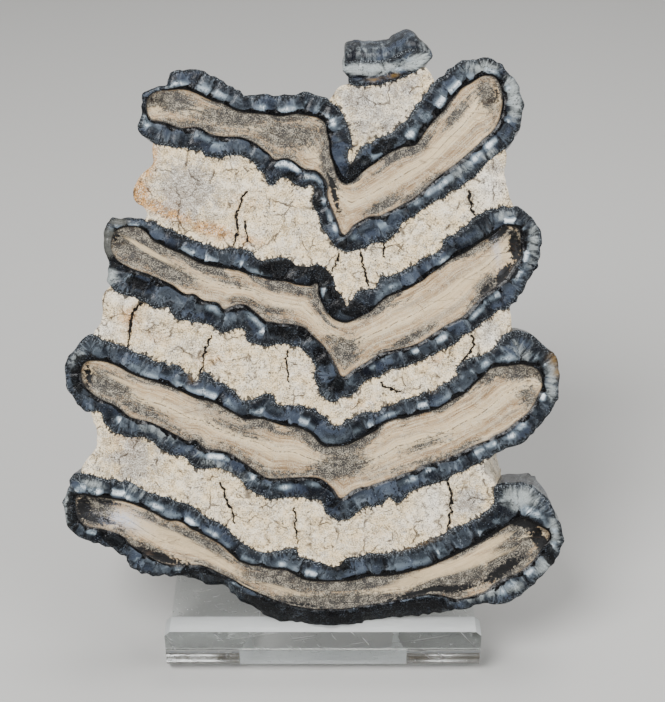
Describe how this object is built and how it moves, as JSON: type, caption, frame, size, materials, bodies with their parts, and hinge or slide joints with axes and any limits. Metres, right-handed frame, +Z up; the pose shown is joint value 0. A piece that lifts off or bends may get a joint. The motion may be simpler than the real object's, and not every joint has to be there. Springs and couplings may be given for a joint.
{
  "type": "mammoth tooth slice",
  "caption": "Sawn slice of a fossil mammoth molar with folded enamel plates, leaning on a small clear bent-sheet easel.",
  "frame": {"origin": "on the table, below the middle of the bounding box", "axes": "+Z up, +X to the right of the cut face, +Y backwards, away from the viewer"},
  "size_m": [0.0918, 0.065, 0.1073],
  "materials": {
    "tooth": "cut and part polished fossil ivory, cream cementum with blue-grey enamel",
    "acrylic": "clear, scratched, with hazy sawn edges"
  },
  "bodies": {
    "root": {"tooth_slice": "tooth", "acrylic_stand": "acrylic"}
  },
  "joints": []
}
